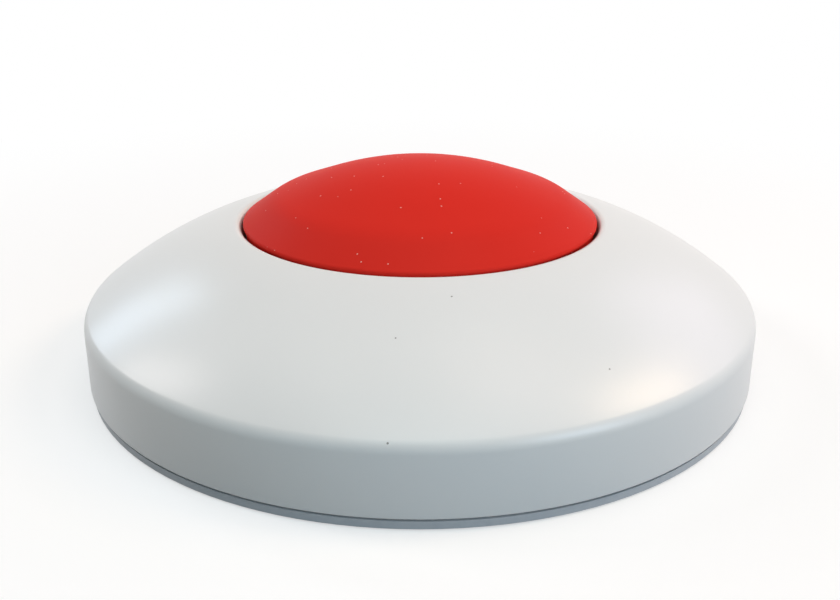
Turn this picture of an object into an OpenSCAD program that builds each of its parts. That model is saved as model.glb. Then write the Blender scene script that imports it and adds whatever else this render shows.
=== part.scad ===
// Round panic button: a red palm button that sinks into a white snap-on cover.
// Millimetres, +Z up, origin on the table below the middle of the button.

/* [Cover] */
// Diameter of the cover at its rim, where the side wall meets the sloping top
cover_d = 100; // [92:1:120]
// Wall thickness of the cover
cover_t = 2.2; // [1.8:0.1:2.8]
// Height of the side wall from the seam to the rim
wall_h = 9.04; // [8.6:0.02:14]
// How far the side wall leans out from the rim down to the seam
wall_draft = 0.15; // [0.05:0.05:0.5]
// Rise of the sloping top from the rim to the button hole
slope_h = 11.56; // [9:0.02:14]
// How far the sloping top bows out beyond a straight cone
slope_bow = 1.46; // [0.8:0.02:2.4]
// Radius of the rounded rim
rim_round = 2.2; // [1:0.1:4]
// Radius of the edge of the button hole
hole_round = 0.85; // [0.3:0.05:1.2]
// Shadow gap between the cover and the base
seam_gap = 0.35; // [0.1:0.05:0.4]
// Thickness of the stiffening ribs under the sloping top
cover_rib_t = 1.2; // [0.8:0.1:2]
// Number of stiffening ribs under the sloping top
cover_ribs = 8; // [4:1:12]

/* [Button well] */
// Wall thickness of the sunk well around the button
well_t = 1.8; // [1.4:0.1:2.4]
// Thickness of the well's floor
floor_t = 1.8; // [1.4:0.1:2.4]
// Wall thickness of the tube that guides the button's stem
tube_t = 1.7; // [1.2:0.1:2.4]
// Height of the guide tube above the well's floor
tube_h = 5.6; // [4:0.1:6.5]

/* [Button cap] */
// Diameter of the button
cap_d = 53; // [48:0.5:60]
// Running gap between the button and the edge of its hole
cap_gap = 0.3; // [0.25:0.05:0.8]
// Wall thickness of the dome
cap_t = 2; // [1.6:0.1:2.6]
// Wall thickness of the skirt below the dome
skirt_t = 1.4; // [1.2:0.1:2]
// How far the edge of the dome stands below the edge of the hole, before both are rounded
cap_sunk = 0.06; // [-1:0.02:0.2]
// Radius of the edge of the dome
cap_round = 0.5; // [0.3:0.05:1]
// Height of the upright lip below that rounded edge
lip_h = 0.25; // [0.1:0.05:0.8]
// How far the skirt stands back under the lip
lip_d = 0.4; // [0.2:0.05:0.8]
// Rise of the straight flank from the edge to the shoulder
flank_h = 3.34; // [2.6:0.02:4]
// Diameter of the crown at the shoulder
crown_d = 43.6; // [40:0.2:45]
// Rise of the crown from the shoulder to the top
crown_h = 4.7; // [4.4:0.05:5.2]
// Slope of the crown at the shoulder, in degrees
crown_slope = 19.5; // [18.5:0.1:21]
// Radius of the soft bend between flank and crown
shoulder_round = 9; // [3:1:12]
// Thickness of the ribs under the dome
cap_rib_t = 1.2; // [0.8:0.1:1.6]
// Number of ribs under the dome
cap_ribs = 6; // [3:3:12]
// How far the ribs reach below the edge of the dome
cap_rib_drop = 1; // [0.8:0.1:1.5]

/* [Travel] */
// How far the button sinks when it is pressed
travel = 2.5; // [1.5:0.1:3]
// Room left under the skirt when the button is fully pressed
travel_spare = 0.5; // [0.3:0.1:1]
// Diameter of the stem that presses the switch
stem_d = 8; // [6:0.2:9]
// Running gap between the stem and its guide tube
stem_gap = 0.3; // [0.2:0.05:0.5]
// Gap between the stem and the switch plunger
stem_play = 0.2; // [0.1:0.05:0.3]
// Width of each snap leg
leg_w = 7; // [5:0.5:9]
// Thickness of each snap leg
leg_t = 1.4; // [1:0.1:1.8]
// Gap between a leg and the skirt, and between a leg and its slot
leg_gap = 0.5; // [0.3:0.05:0.7]
// How far the barb of a leg reaches under the well's floor
leg_barb = 1.1; // [0.9:0.1:1.4]
// Height of the barb of a leg
leg_barb_h = 1.6; // [1.2:0.1:2]
// Play between a barb and the well's floor
leg_play = 0.2; // [0.15:0.05:0.3]

/* [Return spring] */
// Wire diameter of the return spring
wire_d = 0.9; // [0.7:0.05:1.1]
// Turns of the return spring, closed end turns included
spring_turns = 5.5; // [4.5:0.5:6]
// Gap between the spring and the guide tube
spring_gap = 1.55; // [1.3:0.05:2]
// Gap between the wire of the closed end turns
end_turn_gap = 0.5; // [0.45:0.05:0.8]
// Depth of the spring's seat below the inside of the dome
seat_drop = 1.5; // [1:0.1:2]
// Depth of the cup that centres the spring in the cap
cup_h = 1.2; // [0.8:0.1:1.6]
// Wall thickness of that cup
cup_t = 1.1; // [0.8:0.1:1.4]
// Gap between the spring and the cup
cup_gap = 0.5; // [0.3:0.1:0.8]

/* [Base] */
// Thickness of the base plate
base_t = 2.3; // [2:0.1:3]
// Height of the band of the base that shows under the cover
band_h = 1.11; // [0.9:0.01:1.4]
// How far the band stands back from the foot of the cover's wall
band_inset = 0.2; // [0.1:0.05:1]
// How far the band leans in from its top to its lower edge
band_lean = 0.1; // [0.05:0.05:0.6]
// Chamfer on the lower edge of the base
band_chamfer = 0.05; // [0.05:0.05:0.3]
// Wall thickness of the collar that centres the cover
collar_t = 1.6; // [1.2:0.1:1.8]
// Height of that collar above the plate
collar_h = 2.3; // [1.6:0.1:2.8]
// Gap between the collar and the cover's wall
collar_gap = 0.25; // [0.15:0.05:0.4]
// Height of the ribs on the plate
base_rib_h = 1; // [0.6:0.1:1.2]
// Thickness of the ribs on the plate
base_rib_t = 1.4; // [1:0.1:2]
// Width of the notch at the back where the cover is prised off
pry_w = 9; // [6:1:14]
// Depth of that notch
pry_depth = 1.3; // [1:0.1:1.6]
// Height of that notch
pry_h = 0.5; // [0.3:0.05:0.6]

/* [Cover snaps] */
// Width of each snap hook, along the rim
hook_w = 10; // [6:1:14]
// Thickness of each hook
hook_t = 1.5; // [1.2:0.1:1.8]
// Height of the hook's barb
hook_barb_h = 1.6; // [1.2:0.1:1.8]
// How far the cover's catches stand in from its wall
catch_d = 0.9; // [0.7:0.1:1.1]
// Height of the cover's catches
catch_h = 1; // [0.8:0.1:1.2]
// How much wider a catch is than its hook
catch_extra = 4; // [2:1:6]
// Gap between the collar and the catches above it
catch_gap = 0.4; // [0.3:0.1:0.6]
// Gap between a hook and the cover beside it
hook_gap = 0.25; // [0.2:0.05:0.3]
// Play between a hook's barb and its catch
hook_play = 0.2; // [0.1:0.05:0.3]
// Slot in the collar on each side of a hook
hook_slot = 1.2; // [0.8:0.1:2]

/* [Feet] */
// Diameter of the rubber feet
foot_d = 8; // [6:0.5:10]
// Height of a foot
foot_h = 1.5; // [1.2:0.1:1.7]
// How far a foot stands out of the base
foot_stand = 0.2; // [0.2:0.1:0.6]
// Gap between a foot and its recess
foot_gap = 0.1; // [0.05:0.05:0.2]
// Distance from a foot to the edge of the base
foot_inset = 6; // [4:0.5:8]
// Angle of the feet from the left-right axis
foot_angle = 30; // [25:1:32]

/* [Wall screws] */
// Distance between the two wall screws
screw_spacing = 60; // [54:1:64]
// Diameter of the holes for the wall screws
screw_hole_d = 4.2; // [3.6:0.1:4.6]
// Diameter of the raised pad around a wall screw
screw_pad_d = 10; // [8:0.5:11]
// Height of that pad
screw_pad_h = 0.8; // [0.4:0.1:1]
// Diameter of the holes in the board for the screwdriver
driver_hole_d = 9; // [8:0.5:10]

/* [Circuit board] */
// Thickness of the circuit board
board_t = 1.6; // [1.2:0.1:1.8]
// Height of the bosses under the board
boss_h = 2.2; // [2:0.1:2.6]
// Diameter of the bosses
boss_d = 6; // [5:0.5:7]
// Distance from the boss centres to the board's edge
boss_inset = 5; // [4:0.5:6]
// Gap between the board's edge and the snap hooks
board_gap = 0.45; // [0.3:0.05:1]
// Thread diameter of the board screws
board_screw_d = 2.2; // [2:0.1:2.5]
// Length of the board screws below the head
board_screw_l = 4.8; // [4.4:0.1:5]
// Head diameter of the board screws
board_screw_head_d = 4.2; // [3.8:0.1:4.6]
// Head height of the board screws
board_screw_head_h = 1.5; // [1.2:0.1:1.8]
// Gap around a board screw in its boss
screw_gap = 0.05; // [0.03:0.01:0.1]
// Gap around a board screw, pin or wire in the board
board_hole_gap = 0.25; // [0.15:0.05:0.3]

/* [Switch] */
// Width of the push switch
switch_w = 8.5; // [8:0.1:9]
// Height of the switch body
switch_h = 6; // [5.6:0.1:6.4]
// Thickness of the switch's top wall
switch_roof = 1.2; // [1:0.1:1.4]
// Diameter of the switch plunger
plunger_d = 3.5; // [3:0.1:4]
// What still stands out of the switch when it is pressed
plunger_rest = 0.7; // [0.5:0.1:1]
// Running gap around the plunger
plunger_gap = 0.25; // [0.2:0.05:0.3]
// Diameter of the plunger's collar inside the switch
plunger_collar_d = 5.4; // [5:0.1:5.8]
// Height of that collar
plunger_collar_h = 0.8; // [0.6:0.1:1]
// Diameter of the switch pins
pin_d = 0.7; // [0.5:0.05:0.8]
// Length of the pins below the board
pin_out = 1.1; // [0.8:0.1:1.3]
// Distance between neighbouring pins
pin_pitch = 2.5; // [2:0.1:3]
// Distance between the two rows of pins
pin_rows = 5; // [4:0.1:6]

/* [Battery] */
// Diameter of the coin cell
cell_d = 24.5; // [20:0.5:26]
// Thickness of the coin cell
cell_h = 5; // [3.2:0.1:5.4]
// Gap between the cell and its holder
cell_gap = 0.25; // [0.15:0.05:0.4]
// Wall thickness of the holder
holder_t = 1.5; // [1.2:0.1:2]
// Thickness of the holder's floor
holder_floor = 0.8; // [0.7:0.1:1.2]
// How far the holder's wall stays below the top of the cell
holder_drop = 1.2; // [0.8:0.1:1.6]
// Distance from the holder to the board's edge
holder_inset = 5; // [3:0.5:7]
// Width of the opening in the holder where a finger lifts the cell
finger_w = 12; // [8:1:14]
// Thickness of the contact strips
strip_t = 0.35; // [0.3:0.05:0.5]
// Width of the contact strips
strip_w = 5; // [4:0.5:6]
// Length of the strips' solder feet
strip_foot = 2; // [1.5:0.1:2.5]
// Gap between a strip and the holder
strip_gap = 0.2; // [0.1:0.05:0.3]
// Room between the tallest inner part and the well's floor
head_room = 0.65; // [0.5:0.05:1]

/* [Radio] */
// Width of the radio module's board
radio_w = 16; // [14:0.5:17]
// Depth of the radio module's board
radio_l = 14; // [12:0.5:15]
// Thickness of the radio module's board
radio_t = 0.8; // [0.6:0.1:1.2]
// Height of the shield
can_h = 2; // [1.6:0.1:2.4]
// Wall thickness of the shield
can_t = 0.3; // [0.25:0.05:0.5]
// Distance from the shield to the edge of the module's board
can_inset = 1.2; // [0.8:0.1:1.6]
// Distance of the radio and of the control chip from the board's left-right centre line
chip_y = 15; // [14:0.5:16]
// Distance of the radio and of the control chip from the front-back centre line
chip_x = 13.5; // [13:0.5:15]
// Middle diameter of the antenna coil
coil_d = 4.6; // [4:0.1:5]
// Wire diameter of the antenna
coil_wire_d = 0.8; // [0.6:0.05:0.9]
// Turns of the antenna coil
coil_turns = 10; // [6:1:12]
// Gap between neighbouring turns
coil_gap = 0.7; // [0.45:0.05:0.9]
// Distance from the coil's axis to the board's edge
coil_inset = 8; // [6:0.5:9]
// Gap between the coil and the board
coil_lift = 0.3; // [0.2:0.1:0.6]

/* [Small parts] */
// Width of the control chip's body
chip_w = 7; // [6:0.5:7.5]
// Thickness of the control chip's body
chip_h = 1.3; // [1:0.1:1.6]
// Leads on each side of the control chip
leads = 8; // [4:1:8]
// Distance between neighbouring leads
lead_pitch = 0.8; // [0.65:0.05:0.8]
// Width of a lead
lead_w = 0.35; // [0.25:0.05:0.4]
// Thickness of a lead
lead_t = 0.2; // [0.15:0.05:0.25]
// How far a lead reaches out from the body
lead_l = 1.2; // [0.9:0.1:1.4]
// Length of the crystal
crystal_l = 11; // [9:0.5:11.5]
// Width of the crystal
crystal_w = 4.6; // [4:0.1:4.8]
// Height of the crystal
crystal_h = 3.6; // [3:0.1:4]
// Flange around the foot of the crystal
crystal_flange = 0.4; // [0.3:0.05:0.6]
// Distance of the crystal from the control chip's centre
crystal_y = 9.5; // [9:0.5:10]
// Diameter of the reservoir capacitor
can_cap_d = 6.3; // [5:0.1:6.3]
// Height of the reservoir capacitor
can_cap_h = 5.4; // [4:0.1:5.8]
// Thickness of its moulded foot
can_cap_foot = 1; // [0.8:0.1:1.2]
// Distance of the reservoir capacitor from the radio's centre
can_cap_y = 13; // [12.5:0.5:14]
// Length of the small chip parts
small_l = 2; // [1.6:0.1:2.2]
// Width of the small chip parts
small_w = 1.25; // [0.8:0.05:1.4]
// Height of the small capacitors
small_cap_h = 1.1; // [0.8:0.1:1.3]
// Height of the small resistors
small_res_h = 0.55; // [0.4:0.05:0.7]
// Small parts in each row
small_count = 4; // [2:1:4]
// Distance between neighbouring small parts
small_pitch = 3; // [2.6:0.1:3.2]
// Distance of the rows of small parts from the control chip's centre
small_offset = 7.5; // [7:0.25:8]

/* [Hidden] */
$fn = 96;

// Steps along a long curve and along a small round of an outline
curve_steps = 24;
round_steps = 6;

// How far a cut runs past a face, and how far fused shapes run into each other
over = 1;
sink = 0.4;

white = [0.93, 0.93, 0.92];
red = [0.80, 0.16, 0.14];
steel = [0.72, 0.73, 0.75];
tin = [0.80, 0.80, 0.80];
black = [0.10, 0.10, 0.11];
green = [0.10, 0.36, 0.20];

// Levels from the table upwards
base_z = foot_stand;
base_top = base_z + base_t;
band_top = base_z + band_h;
seam_z = band_top + seam_gap;
rim_z = seam_z + wall_h;
hole_z = rim_z + slope_h;
board_z = base_top + boss_h;
board_top = board_z + board_t;
switch_top = board_top + switch_h;
plunger_top = switch_top + travel + plunger_rest;
cell_z = board_top + holder_floor;
cell_top = cell_z + cell_h;
floor_z = max(switch_top, cell_top + strip_t) + head_room;
floor_top = floor_z + floor_t;
skirt_z = floor_top + travel + travel_spare;
edge_z = hole_z - cap_sunk;
shoulder_z = edge_z + flank_h;
apex_z = shoulder_z + crown_h;
seat_z = apex_z - cap_t - seat_drop;
stem_z = plunger_top + stem_play;

// Radii from the axis outwards
rim_r = cover_d / 2;
cap_r = cap_d / 2;
crown_r = crown_d / 2;
hole_r = cap_r + cap_gap;
well_r = hole_r + well_t;
inner_r = rim_r - cover_t;
bore_r = stem_d / 2 + stem_gap;
tube_r = bore_r + tube_t;
spring_r = tube_r + spring_gap + wire_d / 2;
cup_r = spring_r + wire_d / 2 + cup_gap;
skirt_out = cap_r - lip_d;
skirt_r = skirt_out - skirt_t;
leg_out = skirt_r - leg_gap;
leg_in = leg_out - leg_t;
band_r = rim_r + wall_draft - band_inset;
collar_r = inner_r - collar_gap;
collar_in = collar_r - collar_t;
hook_out = inner_r - catch_d - hook_gap;
hook_in = hook_out - hook_t;
board_r = hook_in - board_gap;
boss_r = board_r - boss_inset;
foot_r = band_r - band_lean - foot_inset - foot_d / 2;
holder_r = cell_d / 2 + cell_gap + holder_t;
cell_y = -(board_r - holder_inset - holder_r);
coil_y = board_r - coil_inset;

// Snaps between cover and base
collar_top = base_top + collar_h;
catch_z = collar_top + catch_gap;
barb_z = catch_z + catch_h + hook_play;
hook_top = barb_z + hook_barb_h;

leg_angles = [90, 210, 330];
hook_angles = [0, 90, 180, 270];
base_rib_angles = [20, 70, 110, 160, 200, 250, 290, 340];
foot_places = [for (sx = [-1, 1], sy = [-1, 1]) foot_r * [sx * cos(foot_angle), sy * sin(foot_angle)]];
boss_places = [for (sx = [-1, 1], sy = [-1, 1]) boss_r * [sx, sy] / sqrt(2)];
screw_places = [[-screw_spacing / 2, 0], [screw_spacing / 2, 0]];
pin_places = [for (sx = [-1, 1], i = [-1 : 1]) [sx * pin_rows / 2, i * pin_pitch]];

function unit(v) = v / norm(v);
function turned(v) = [-v.y, v.x];
function arc_radius(chord, bow) = (chord * chord / 4 + bow * bow) / (2 * bow);

// Centre of a round of radius f inside both a circle (centre o, radius r) and a line through p along u
function round_centre(o, r, p, u, f) =
    let (q = p + turned(u) * f - o, b = q * u, c = q * q - (r - f) * (r - f))
    o + q + u * (sqrt(b * b - c) - b);

// The sloping top is an arc from the rim to the hole
rim_point = [rim_r, rim_z];
hole_point = [hole_r, hole_z];
slope_chord = hole_point - rim_point;
slope_r = arc_radius(norm(slope_chord), slope_bow);
slope_o = (rim_point + hole_point) / 2 + unit(turned(slope_chord)) * (slope_r - slope_bow);
wall_foot = [rim_r + wall_draft, seam_z];
wall_u = unit(rim_point - wall_foot);
rim_o = round_centre(slope_o, slope_r, rim_point, wall_u, rim_round);
rim_low = rim_o - turned(wall_u) * rim_round;
rim_high = slope_o + unit(rim_o - slope_o) * slope_r;
hole_o = [hole_r + hole_round, slope_height(hole_r + hole_round, hole_round)];
hole_high = slope_o + unit(hole_o - slope_o) * slope_r;

// Height and radius of the sloping top, taken at a depth below its outside
function slope_height(r, depth) = slope_o.y + sqrt(pow(slope_r - depth, 2) - pow(r - slope_o.x, 2));
function slope_reach(z, depth) = slope_o.x + sqrt(pow(slope_r - depth, 2) - pow(z - slope_o.y, 2));

// Round of radius f between the lines along u and v from a corner p: its centre, and its end on u
function corner_centre(p, u, v, f) = p + unit(u + v) * f / sin(acos(u * v) / 2);
function corner_end(p, u, v, f) = p + u * f / tan(acos(u * v) / 2);

// The dome is a crown arc that runs out straight, a soft shoulder, a straight flank and a rounded edge
apex = [0, apex_z];
edge_point = [cap_r, edge_z];
shoulder_point = [crown_r, shoulder_z];
flank_u = unit(shoulder_point - edge_point);
flank_n = turned(flank_u);
crown_u = [-cos(crown_slope), sin(crown_slope)];
crown_n = turned(crown_u);
crown_rad = (crown_r * tan(crown_slope) - crown_h) / (1 / cos(crown_slope) - 1);
crown_o = [0, apex_z - crown_rad];
crown_end = crown_o - crown_n * crown_rad;
shoulder_o = corner_centre(shoulder_point, -flank_u, crown_u, shoulder_round);
shoulder_low = corner_end(shoulder_point, -flank_u, crown_u, shoulder_round);
shoulder_high = corner_end(shoulder_point, crown_u, -flank_u, shoulder_round);
edge_o = corner_centre(edge_point, [0, -1], flank_u, cap_round);
edge_low = corner_end(edge_point, [0, -1], flank_u, cap_round);
edge_high = corner_end(edge_point, flank_u, [0, -1], cap_round);
lip_z = edge_low.y - lip_h;

// Height of the flank and of the crown at a radius, taken at a depth below the outside
function flank_height(r, depth) =
    let (p = edge_point + flank_n * depth) p.y + (r - p.x) * flank_u.y / flank_u.x;
function crown_height(r, depth) = crown_o.y + sqrt(pow(crown_rad - depth, 2) - r * r);
inner_end = crown_end + crown_n * cap_t;
inner_shoulder = corner_centre(shoulder_point, -flank_u, crown_u, cap_t);

// Points of an arc about centre o from p, which is left out, to q
function arc(o, p, q, steps) =
    let (a = atan2(p.y - o.y, p.x - o.x), b = atan2(q.y - o.y, q.x - o.x), r = norm(q - o))
    [for (i = [1 : steps]) let (t = a + (b - a) * i / steps) i == steps ? q : o + r * [cos(t), sin(t)]];

// Turns a profile of radius and height into a flat rib of thickness t at an angle
module rib(angle, t) {
    rotate([90, 0, angle])
        translate([0, 0, -t / 2])
            linear_extrude(t)
                children();
}

// Sweeps a profile of radius and height over the angle that a width takes at radius r
module arc_band(angle, width, r) {
    sweep = 2 * asin(width / 2 / r);
    rotate(angle - sweep / 2)
        rotate_extrude(angle = sweep)
            children();
}

// Plate from a flat outline standing on height z
module slab(z, h) {
    translate([0, 0, z])
        linear_extrude(h)
            children();
}

// Round drill from z upwards at each place
module drills(places, d, z, h) {
    for (p = places)
        translate([p.x, p.y, z])
            cylinder(d = d, h = h);
}

// Unbroken round wire along a path, with its rings turned about the axis that it winds round
module wire(path, d, axis, sides = 6) {
    n = len(path);
    rings = [for (i = [0 : n - 1])
        let (t = unit(path[min(i + 1, n - 1)] - path[max(i - 1, 0)]))
        let (a = unit(cross(t, axis)), b = cross(t, a))
        for (k = [0 : sides - 1]) path[i] + d / 2 * (a * cos(k * 360 / sides) + b * sin(k * 360 / sides))];
    skin = [for (i = [0 : n - 2], k = [0 : sides - 1])
        let (k2 = (k + 1) % sides, p = i * sides + k, q = i * sides + k2, r = q + sides, s = p + sides)
        each [[p, s, q], [q, s, r]]];
    first_cap = [for (k = [1 : sides - 2]) [0, k, k + 1]];
    last = (n - 1) * sides;
    last_cap = [for (k = [1 : sides - 2]) [last, last + k + 1, last + k]];
    polyhedron(points = rings, faces = concat(skin, first_cap, last_cap));
}

// Least gap of a wound wire to itself, between points at least six steps apart
function least_gap(path, d) =
    min([for (i = [0 : len(path) - 7], j = [i + 6 : len(path) - 1]) norm(path[j] - path[i])]) - d;

// Return spring: closed end turns, and an even pitch between them
rings_per_turn = 8;
end_rise = wire_d + end_turn_gap;
spring_rise = seat_z - floor_top - wire_d;
mid_turns = spring_turns - 2;
mid_pitch = (spring_rise - 2 * end_rise) / mid_turns;
function spring_lift(turn) =
    turn < 1 ? turn * end_rise
    : turn > spring_turns - 1 ? spring_rise - (spring_turns - turn) * end_rise
    : end_rise + (turn - 1) * mid_pitch;
spring_path = [for (i = [0 : spring_turns * rings_per_turn])
    let (turn = i / rings_per_turn)
    [spring_r * cos(turn * 360), spring_r * sin(turn * 360), floor_top + wire_d / 2 + spring_lift(turn)]];
echo(return_spring_least_gap = least_gap(spring_path, wire_d));

// Antenna: a leg up from the board, and the coil along X with its last turn left open
coil_r = coil_d / 2;
coil_pitch = coil_wire_d + coil_gap;
coil_x = -coil_turns * coil_pitch / 2;
coil_z = board_top + coil_lift + coil_r + coil_wire_d / 2;
coil_leg = [coil_x, coil_y + coil_r];
coil_path = concat(
    [[coil_leg.x, coil_leg.y, board_z], [coil_leg.x, coil_leg.y, board_top]],
    [for (i = [0 : coil_turns * rings_per_turn])
        let (turn = i / rings_per_turn)
        [coil_x + turn * coil_pitch, coil_y + coil_r * cos(turn * 360), coil_z + coil_r * sin(turn * 360)]]);
echo(antenna_coil_least_gap = least_gap(coil_path, coil_wire_d));

// Section of the cover: up the outside, over the rim and the slope, down the well, and back under the slope
module cover_profile() {
    hole_low = [hole_r, hole_o.y];
    under_high = [well_r, slope_height(well_r, cover_t)];
    under_low = [inner_r, slope_height(inner_r, cover_t)];
    polygon(concat(
        [wall_foot, rim_low],
        arc(rim_o, rim_low, rim_high, round_steps),
        arc(slope_o, rim_high, hole_high, curve_steps),
        arc(hole_o, hole_high, hole_low, round_steps),
        [[hole_r, floor_top], [tube_r, floor_top], [tube_r, floor_top + tube_h], [bore_r, floor_top + tube_h],
            [bore_r, floor_z], [well_r, floor_z], under_high],
        arc(slope_o, under_high, under_low, curve_steps),
        [[inner_r, seam_z]]));
}

// Rib from the well to where the sloping top comes down to the level of the well's floor
module cover_rib_profile() {
    depth = cover_t / 2;
    r0 = well_r - well_t / 2;
    high = [r0, slope_height(r0, depth)];
    low = [slope_reach(floor_z, depth), floor_z];
    polygon(concat([[r0, floor_z], low], arc(slope_o, low, high, round_steps)));
}

module catch_profile() {
    ramp = catch_h * 0.6;
    polygon([[inner_r + sink, catch_z], [inner_r, catch_z], [inner_r - catch_d, catch_z + ramp],
        [inner_r - catch_d, catch_z + catch_h], [inner_r + sink, catch_z + catch_h]]);
}

module top_cover() {
    color(white)
        difference() {
            union() {
                rotate_extrude()
                    cover_profile();
                for (i = [0 : cover_ribs - 1])
                    rib((i + 0.5) * 360 / cover_ribs, cover_rib_t)
                        cover_rib_profile();
                for (a = hook_angles)
                    arc_band(a, hook_w + catch_extra, inner_r)
                        catch_profile();
            }
            slot_in = leg_in - leg_barb - leg_gap;
            slot_out = leg_out + leg_gap;
            for (a = leg_angles)
                rotate(a)
                    translate([slot_in, -leg_w / 2 - leg_gap, floor_z - over])
                        cube([slot_out - slot_in, leg_w + 2 * leg_gap, floor_t + 2 * over]);
        }
}

// Section of the cap: up the stem, round the spring's cup, under the dome, round the skirt and the lip, and
// over the dome
module cap_profile() {
    stem_r = stem_d / 2;
    cup_out = cup_r + cup_t;
    cup_z = seat_z - cup_h;
    under_high = [cup_out, crown_height(cup_out, cap_t)];
    polygon(concat(
        [[0, stem_z], [stem_r, stem_z], [stem_r, seat_z], [cup_r, seat_z], [cup_r, cup_z], [cup_out, cup_z],
            under_high],
        arc(crown_o, under_high, inner_end, round_steps),
        [inner_shoulder, [skirt_r, flank_height(skirt_r, cap_t)], [skirt_r, skirt_z],
            [skirt_out, skirt_z], [skirt_out, lip_z], [cap_r, lip_z], edge_low],
        arc(edge_o, edge_low, edge_high, round_steps),
        [shoulder_low],
        arc(shoulder_o, shoulder_low, shoulder_high, round_steps),
        [crown_end],
        arc(crown_o, crown_end, apex, curve_steps)));
}

module cap_rib_profile() {
    low = edge_z - cap_rib_drop;
    depth = cap_t / 2;
    r0 = cup_r + cup_t / 2;
    r1 = skirt_r + skirt_t / 2;
    polygon([[r0, low], [r1, low], [r1, flank_height(r1, depth)], [crown_r, flank_height(crown_r, depth)],
        [r0, crown_height(r0, depth)]]);
}

module leg_profile() {
    ledge = floor_z - leg_play;
    tip = ledge - leg_barb_h;
    nose = leg_barb_h / 3;
    depth = cap_t / 2;
    polygon([[leg_in, tip], [leg_out, tip], [leg_out + leg_barb, ledge - nose], [leg_out + leg_barb, ledge],
        [leg_out, ledge], [leg_out, flank_height(leg_out, depth)], [leg_in, flank_height(leg_in, depth)]]);
}

module button_cap() {
    color(red) {
        rotate_extrude()
            cap_profile();
        for (i = [0 : cap_ribs - 1])
            rib(i * 360 / cap_ribs, cap_rib_t)
                cap_rib_profile();
        for (a = leg_angles)
            rib(a, leg_w)
                leg_profile();
    }
}

module return_spring() {
    color(steel)
        wire(spring_path, wire_d, [0, 0, 1]);
}

module base_profile() {
    low_r = band_r - band_lean;
    polygon([[0, base_z], [low_r - band_chamfer, base_z], [low_r, base_z + band_chamfer],
        [band_r, band_top], [collar_r, band_top], [collar_r, collar_top], [collar_in, collar_top],
        [collar_in, base_top], [0, base_top]]);
}

module hook_profile() {
    barb_r = inner_r - hook_gap;
    nose = hook_barb_h / 3;
    polygon([[hook_in, base_top - sink], [hook_out, base_top - sink], [hook_out, barb_z], [barb_r, barb_z],
        [barb_r, barb_z + nose], [hook_out, hook_top], [hook_in, hook_top]]);
}

module base_plate() {
    rib_from = switch_w;
    foot_depth = foot_h - foot_stand;
    pilot_depth = board_screw_l - board_t + sink;
    color(white)
        difference() {
            union() {
                difference() {
                    rotate_extrude()
                        base_profile();
                    for (a = hook_angles)
                        arc_band(a, hook_w + 2 * hook_slot, collar_r)
                            translate([collar_in - over, base_top])
                                square([collar_t + 2 * over, collar_h + over]);
                }
                for (a = hook_angles)
                    arc_band(a, hook_w, hook_out)
                        hook_profile();
                for (a = base_rib_angles)
                    rib(a, base_rib_t)
                        translate([rib_from, base_top - sink])
                            square([collar_in + sink - rib_from, base_rib_h + sink]);
                drills(boss_places, boss_d, base_top - sink, boss_h + sink);
                drills(screw_places, screw_pad_d, base_top - sink, screw_pad_h + sink);
            }
            drills(boss_places, board_screw_d + 2 * screw_gap, board_z - pilot_depth, pilot_depth + over);
            drills(screw_places, screw_hole_d, base_z - over, base_t + screw_pad_h + 2 * over);
            drills(foot_places, foot_d + 2 * foot_gap, base_z - over, foot_depth + over);
            translate([-pry_w / 2, band_r - pry_depth, band_top - pry_h])
                cube([pry_w, pry_depth + over, pry_h + over]);
        }
}

module rubber_feet() {
    edge = foot_stand / 2;
    r = foot_d / 2;
    color(black)
        for (p = foot_places)
            translate([p.x, p.y, 0])
                rotate_extrude()
                    polygon([[0, 0], [r - edge, 0], [r, edge], [r, foot_h], [0, foot_h]]);
}

module circuit_board() {
    color(green)
        difference() {
            translate([0, 0, board_z])
                cylinder(r = board_r, h = board_t);
            drills(boss_places, board_screw_d + 2 * board_hole_gap, board_z - over, board_t + 2 * over);
            drills(screw_places, driver_hole_d, board_z - over, board_t + 2 * over);
            drills(pin_places, pin_d + 2 * board_hole_gap, board_z - over, board_t + 2 * over);
            drills([coil_leg], coil_wire_d + 2 * board_hole_gap, board_z - over, board_t + 2 * over);
        }
}

module board_screws() {
    slot_w = board_screw_head_d / 6;
    slot_l = board_screw_head_d * 0.6;
    rounding = board_screw_head_h * 0.6;
    head_r = board_screw_head_d / 2;
    head_side = [head_r, board_screw_head_h - rounding];
    head_flat = [head_r - rounding, board_screw_head_h];
    color(steel)
        for (p = boss_places)
            translate([p.x, p.y, board_top])
                difference() {
                    union() {
                        translate([0, 0, -board_screw_l])
                            cylinder(d = board_screw_d, h = board_screw_l + sink);
                        rotate_extrude()
                            polygon(concat([[0, 0], [head_r, 0], head_side],
                                arc(head_side - [rounding, 0], head_side, head_flat, round_steps),
                                [[0, board_screw_head_h]]));
                    }
                    for (a = [0, 90])
                        rotate(a)
                            translate([-slot_l / 2, -slot_w / 2, board_screw_head_h / 2])
                                cube([slot_l, slot_w, board_screw_head_h]);
                }
}

// Inside of the switch: a narrow mouth for the plunger and a wider room for its collar
collar_room = plunger_collar_d + 2 * plunger_gap;
collar_rest = switch_top - switch_roof - plunger_gap;

module switch_body() {
    room_z = collar_rest - plunger_collar_h - travel - plunger_gap;
    color(black)
        difference() {
            slab(board_top, switch_h)
                square(switch_w, center = true);
            translate([0, 0, switch_top - switch_roof - over])
                cylinder(d = plunger_d + 2 * plunger_gap, h = switch_roof + 2 * over);
            translate([0, 0, room_z])
                cylinder(d = collar_room, h = switch_top - switch_roof - room_z);
        }
}

module switch_plunger() {
    color(white) {
        translate([0, 0, collar_rest - plunger_collar_h])
            cylinder(d = plunger_d, h = plunger_top - collar_rest + plunger_collar_h);
        translate([0, 0, collar_rest - plunger_collar_h])
            cylinder(d = plunger_collar_d, h = plunger_collar_h);
    }
}

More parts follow.
